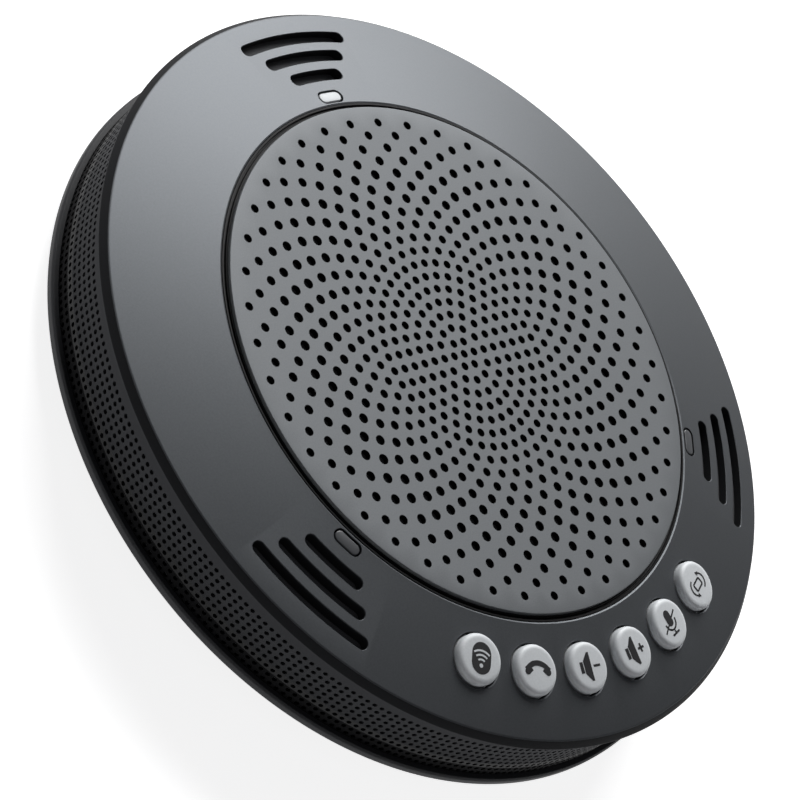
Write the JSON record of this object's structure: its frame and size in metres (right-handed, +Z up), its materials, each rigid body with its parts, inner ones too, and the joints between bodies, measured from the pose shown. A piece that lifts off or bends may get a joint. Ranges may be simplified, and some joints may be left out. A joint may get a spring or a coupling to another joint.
{
  "type": "conference speakerphone",
  "caption": "Flat round conference speakerphone with a perforated top grille, microphone slots, an arc of keys, status windows and a perforated side band.",
  "frame": {"origin": "centre of the resting face, under the rubber foot ring", "axes": "+Z up through the grille, keys towards -Y, USB port towards +Y, +X to the right of a person facing the keys"},
  "size_m": [0.16, 0.16, 0.03],
  "materials": {
    "band_paint": "satin",
    "base_plastic": "fine spark texture",
    "basket_paint": "black coat",
    "battery_wrap": "shrink wrap",
    "black_cloth": "woven",
    "black_plastic": "fine spark texture",
    "board_green": "solder mask",
    "chip_black": "moulded",
    "cone_paper": "pressed pulp",
    "copper_wire": "enamelled",
    "cover_paint": "satin metallic",
    "ferrite": "ground",
    "flex_film": "polyimide film",
    "foam": "open foam",
    "foot_rubber": "matte",
    "gold_can": "plated",
    "grille_paint": "fine textured",
    "key_plastic": "satin",
    "led_white": "diffuse",
    "light_pipe_lit": "frosted, lit",
    "light_pipe_off": "frosted",
    "plated_steel": "zinc plated",
    "plunger_plastic": "moulded",
    "screw_steel": "zinc plated",
    "socket_steel": "nickel plated",
    "spider_cloth": "resin dipped",
    "surround_rubber": "smooth",
    "wire_grey": "smooth",
    "wire_red": "smooth"
  },
  "bodies": {
    "case": {"top_cover": "cover_paint", "grille": "grille_paint", "grille_seat": "black_plastic", "grille_cloth": "black_cloth", "side_mesh": "band_paint", "side_cloth": "black_cloth", "mid_frame": "black_plastic", "base_shell": "base_plastic", "foot_ring": "foot_rubber", "case_screws": "screw_steel", "port_bezel": "black_plastic", "usb_c_socket": "socket_steel", "main_board": "board_green", "board_chips": "chip_black", "board_screws": "screw_steel", "battery_pack": "battery_wrap", "battery_pad": "foam", "battery_lead": "wire_red", "speaker_pod": "black_plastic", "speaker_basket": "basket_paint", "speaker_magnet": "ferrite", "speaker_top_plate": "plated_steel", "speaker_yoke": "plated_steel", "speaker_surround": "surround_rubber", "speaker_spider": "spider_cloth", "speaker_gasket": "foam", "speaker_screws": "screw_steel", "speaker_leads": "wire_red", "lead_grommet": "foot_rubber", "tact_switches": "chip_black", "key_flex": "flex_film", "key_carrier": "black_plastic", "key_screws": "screw_steel", "key_ribbon": "flex_film", "light_pipe_back": "light_pipe_lit", "light_pipe_left": "light_pipe_off", "light_pipe_right": "light_pipe_off", "status_leds": "led_white", "mic_boards": "board_green", "mic_capsules": "gold_can", "mic_boots": "foot_rubber", "slot_cloths": "black_cloth", "mic_board_screws": "screw_steel", "mic_leads": "wire_grey"},
    "key_wireless": {"button_wireless": "key_plastic", "plunger_wireless": "plunger_plastic"},
    "key_call": {"button_call": "key_plastic", "plunger_call": "plunger_plastic"},
    "key_volume_down": {"button_volume_down": "key_plastic", "plunger_volume_down": "plunger_plastic"},
    "key_volume_up": {"button_volume_up": "key_plastic", "plunger_volume_up": "plunger_plastic"},
    "key_mute": {"button_mute": "key_plastic", "plunger_mute": "plunger_plastic"},
    "key_rotate": {"button_rotate": "key_plastic", "plunger_rotate": "plunger_plastic"},
    "cone": {"speaker_cone": "cone_paper", "dust_cap": "cone_paper", "voice_coil": "copper_wire"}
  },
  "joints": [
    {"name": "press_wireless", "type": "slide", "parent": "case", "child": "key_wireless", "axis": [-0.0864, -0.1526, 0.9845], "range_m": [-0.0006, 0], "stiffness_N_per_m": 4000},
    {"name": "press_call", "type": "slide", "parent": "case", "child": "key_call", "axis": [-0.0533, -0.1671, 0.9845], "range_m": [-0.0006, 0], "stiffness_N_per_m": 4000},
    {"name": "press_volume_down", "type": "slide", "parent": "case", "child": "key_volume_down", "axis": [-0.018, -0.1744, 0.9845], "range_m": [-0.0006, 0], "stiffness_N_per_m": 4000},
    {"name": "press_volume_up", "type": "slide", "parent": "case", "child": "key_volume_up", "axis": [0.018, -0.1744, 0.9845], "range_m": [-0.0006, 0], "stiffness_N_per_m": 4000},
    {"name": "press_mute", "type": "slide", "parent": "case", "child": "key_mute", "axis": [0.0533, -0.1671, 0.9845], "range_m": [-0.0006, 0], "stiffness_N_per_m": 4000},
    {"name": "press_rotate", "type": "slide", "parent": "case", "child": "key_rotate", "axis": [0.0864, -0.1526, 0.9845], "range_m": [-0.0006, 0], "stiffness_N_per_m": 4000},
    {"name": "cone_slide", "type": "slide", "parent": "case", "child": "cone", "axis": [0, 0, 1], "range_m": [-0.0006, 0.0006], "stiffness_N_per_m": 1500, "deforming": ["speaker_surround", "speaker_spider"]}
  ]
}
